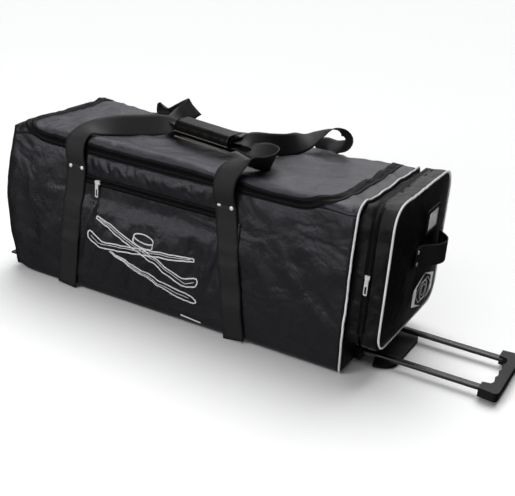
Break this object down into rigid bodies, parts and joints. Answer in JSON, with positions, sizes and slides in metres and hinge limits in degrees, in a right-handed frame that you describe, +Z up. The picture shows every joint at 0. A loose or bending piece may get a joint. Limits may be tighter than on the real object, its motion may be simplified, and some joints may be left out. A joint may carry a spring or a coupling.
{
  "type": "hockey equipment bag",
  "caption": "Long soft wheeled equipment bag with a zipped lid, flat front pocket, zipped end pocket, webbing carry handles and a pull-out trolley handle.",
  "frame": {"origin": "middle of the main compartment's base, on the floor", "axes": "+X towards the end pocket and the trolley handle, -Y the front with the flat pocket, +Z up"},
  "size_m": [1.1935, 0.3716, 0.4233],
  "materials": {
    "nylon": "black coated nylon with a soft sheen",
    "lid_nylon": "black coated nylon, catching more light",
    "webbing": "black woven strap",
    "zipper_tape": "black zipper tape and coil",
    "white_piping": "white smooth piping",
    "nickel": "nickel plate",
    "black_plastic": "black moulded plastic",
    "board_plastic": "dark plain board",
    "black_aluminium": "black anodised",
    "steel": "plain steel pin",
    "rubber": "black tread",
    "clear_vinyl": "clear soft window",
    "card": "blank white card",
    "patch": "embroidered patch"
  },
  "bodies": {
    "bag": {"front_panel": "nylon", "back_panel": "nylon", "bottom_panel": "nylon", "base_board": "board_plastic", "left_end_panel": "nylon", "right_end_panel": "nylon", "top_band_left": "nylon", "top_band_right": "nylon", "lid_zipper_lower": "zipper_tape", "body_piping": "white_piping", "front_strap_left": "webbing", "front_strap_right": "webbing", "back_strap_left": "webbing", "back_strap_right": "webbing", "front_pocket_panel": "nylon", "front_pocket_zipper": "zipper_tape", "strap_rivet_left_1": "nickel", "strap_rivet_left_2": "nickel", "strap_rivet_right_1": "nickel", "strap_rivet_right_2": "nickel", "pocket_gusset": "nylon", "pocket_zipper": "zipper_tape", "trolley_tube_front": "black_aluminium", "trolley_tube_back": "black_aluminium", "trolley_anchor": "black_plastic", "handle_tray": "black_plastic", "wheel_housing_front": "black_plastic", "wheel_housing_back": "black_plastic", "wheel_axle_front": "steel", "wheel_axle_back": "steel"},
    "lid": {"lid_panel": "lid_nylon", "lid_zipper_upper": "zipper_tape"},
    "lid_slider_left": {"lid_slider_left": "nickel"},
    "lid_slider_right": {"lid_slider_right": "nickel"},
    "lid_pull_left": {"lid_pull_left": "nickel"},
    "lid_pull_right": {"lid_pull_right": "nickel"},
    "back_handle": {"back_handle": "webbing"},
    "front_handle": {"front_handle": "webbing", "handle_wrap": "lid_nylon"},
    "wrap_flap": {"wrap_flap": "lid_nylon"},
    "front_pocket_slider": {"front_pocket_slider": "nickel"},
    "front_pocket_pull": {"front_pocket_pull": "nickel"},
    "end_pocket_slider": {"end_pocket_slider": "nickel"},
    "end_pocket_pull": {"end_pocket_pull": "nickel"},
    "end_pocket": {"pocket_shell": "nylon", "pocket_piping": "white_piping", "window_frame": "webbing", "id_card": "card", "id_window": "clear_vinyl", "emblem_patch": "patch", "grab_handle": "webbing", "grab_rivet_1": "nickel", "grab_rivet_2": "nickel"},
    "trolley": {"trolley_rail_front": "black_aluminium", "trolley_rail_back": "black_aluminium", "trolley_grip": "black_plastic"},
    "wheel_front": {"wheel_tyre_front": "rubber", "wheel_hub_front": "black_plastic"},
    "wheel_back": {"wheel_tyre_back": "rubber", "wheel_hub_back": "black_plastic"}
  },
  "joints": [
    {"name": "lid_open", "type": "hinge", "parent": "bag", "child": "lid", "pos_m": [0, 0.17, 0.34535], "axis": [-1, 0, 0], "range_deg": [0, 105], "deforming": ["front_handle", "handle_wrap", "wrap_flap"]},
    {"name": "lid_slider_left_slide", "type": "slide", "parent": "lid", "child": "lid_slider_left", "axis": [-1, 0, 0], "range_m": [0, 0.44]},
    {"name": "lid_slider_right_slide", "type": "slide", "parent": "lid", "child": "lid_slider_right", "axis": [1, 0, 0], "range_m": [0, 0.15]},
    {"name": "lid_pull_left_swing", "type": "hinge", "parent": "lid_slider_left", "child": "lid_pull_left", "pos_m": [0, -0.1753, 0.3426], "axis": [1, 0, 0], "range_deg": [-150, 0]},
    {"name": "lid_pull_right_swing", "type": "hinge", "parent": "lid_slider_right", "child": "lid_pull_right", "pos_m": [0, -0.1753, 0.3426], "axis": [1, 0, 0], "range_deg": [-150, 0]},
    {"name": "back_handle_swing", "type": "hinge", "parent": "lid", "child": "back_handle", "pos_m": [0, 0.17485, 0.347], "axis": [-1, 0, 0], "range_deg": [0, 24]},
    {"name": "front_handle_swing", "type": "hinge", "parent": "bag", "child": "front_handle", "pos_m": [0, -0.17585, 0.306], "axis": [1, 0, 0], "range_deg": [0, 165]},
    {"name": "wrap_flap_open", "type": "hinge", "parent": "front_handle", "child": "wrap_flap", "pos_m": [0.0195, -0.012, 0.409], "axis": [-0.9816, 0.1908, 0], "range_deg": [0, 110]},
    {"name": "front_pocket_slide", "type": "slide", "parent": "bag", "child": "front_pocket_slider", "axis": [1, 0, 0], "range_m": [-0.012, 0.28]},
    {"name": "front_pocket_pull_swing", "type": "hinge", "parent": "front_pocket_slider", "child": "front_pocket_pull", "pos_m": [0, -0.1786, 0.2734], "axis": [1, 0, 0], "range_deg": [-150, 0]},
    {"name": "end_pocket_slide", "type": "slide", "parent": "bag", "child": "end_pocket_slider", "axis": [0, 0, 1], "range_m": [-0.1, 0.09]},
    {"name": "end_pocket_pull_swing", "type": "hinge", "parent": "end_pocket_slider", "child": "end_pocket_pull", "pos_m": [0, -0.1733, 0.2251], "axis": [1, 0, 0], "range_deg": [-150, 0]},
    {"name": "end_pocket_open", "type": "hinge", "parent": "bag", "child": "end_pocket", "pos_m": [0.4726, 0, 0.07], "axis": [0, 1, 0], "range_deg": [0, 75]},
    {"name": "trolley_slide", "type": "slide", "parent": "bag", "child": "trolley", "axis": [1, 0, 0], "range_m": [-0.23, 0]},
    {"name": "wheel_front_spin", "type": "hinge", "parent": "bag", "child": "wheel_front", "pos_m": [-0.4175, -0.105, 0.03], "axis": [0, 1, 0], "continuous": true},
    {"name": "wheel_back_spin", "type": "hinge", "parent": "bag", "child": "wheel_back", "pos_m": [-0.4175, 0.105, 0.03], "axis": [0, 1, 0], "continuous": true}
  ]
}
